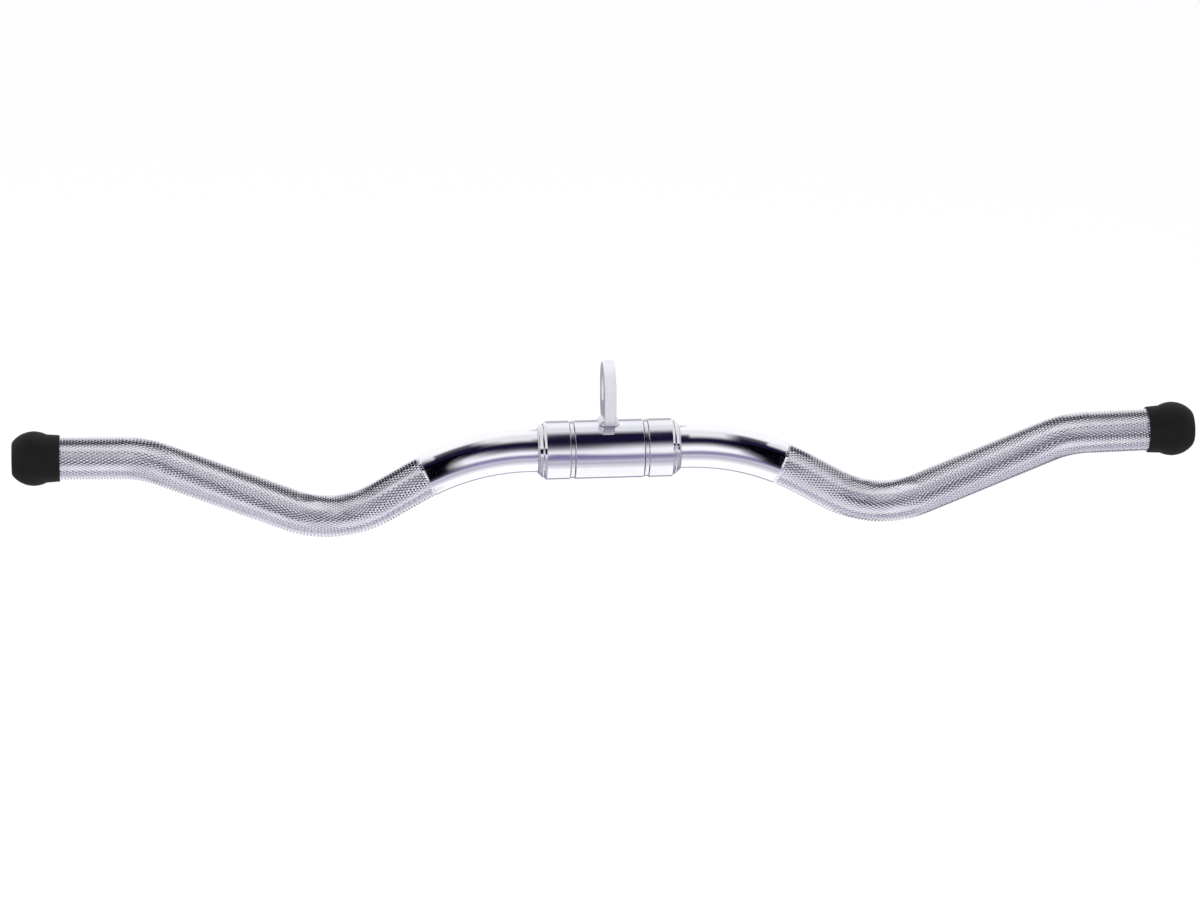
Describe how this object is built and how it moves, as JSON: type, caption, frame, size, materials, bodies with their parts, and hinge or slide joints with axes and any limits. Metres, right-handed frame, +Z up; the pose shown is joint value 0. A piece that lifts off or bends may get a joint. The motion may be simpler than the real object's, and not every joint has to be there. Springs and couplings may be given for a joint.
{
  "type": "cable curl bar",
  "caption": "Bent steel curl bar for a cable machine, with a swivel sleeve and eye plate at its middle, knurled grips and ball end caps.",
  "frame": {"origin": "centre of the eye in the hanger plate, which the cable's carabiner holds", "axes": "+X along the bar to the user's right, +Y away from the user, +Z up along the cable"},
  "size_m": [0.7112, 0.035, 0.1044],
  "materials": {
    "bar_chrome": "chrome plated, diamond knurl on the grips, polished in the middle",
    "sleeve_chrome": "polished chrome plate",
    "plate_chrome": "chrome plate over cut plate",
    "weld_plated": "chrome plate over a rippled weld",
    "bush_bronze": "sintered oil bronze",
    "washer_steel": "ground steel",
    "collar_chrome": "polished chrome plate",
    "screw_black": "blackened alloy steel",
    "ring_chrome": "polished chrome plate",
    "cap_rubber": "moulded black rubber, matt"
  },
  "bodies": {
    "hanger": {"swivel_sleeve": "sleeve_chrome", "hanger_plate": "plate_chrome", "hanger_weld_left": "weld_plated", "hanger_weld_right": "weld_plated", "bush_left": "bush_bronze", "bush_right": "bush_bronze"},
    "bar": {"bar": "bar_chrome", "thrust_washer_left": "washer_steel", "thrust_washer_right": "washer_steel", "collar_left": "collar_chrome", "collar_right": "collar_chrome", "set_screw_left_back": "screw_black", "set_screw_left_bottom": "screw_black", "set_screw_right_back": "screw_black", "set_screw_right_bottom": "screw_black", "stop_ring_left": "ring_chrome", "stop_ring_right": "ring_chrome", "stop_ring_weld_left": "weld_plated", "stop_ring_weld_right": "weld_plated", "end_cap_left": "cap_rubber", "end_cap_right": "cap_rubber"}
  },
  "joints": [
    {"name": "bar_spin", "type": "hinge", "parent": "hanger", "child": "bar", "pos_m": [0, 0, -0.0384], "axis": [1, 0, 0], "continuous": true}
  ]
}
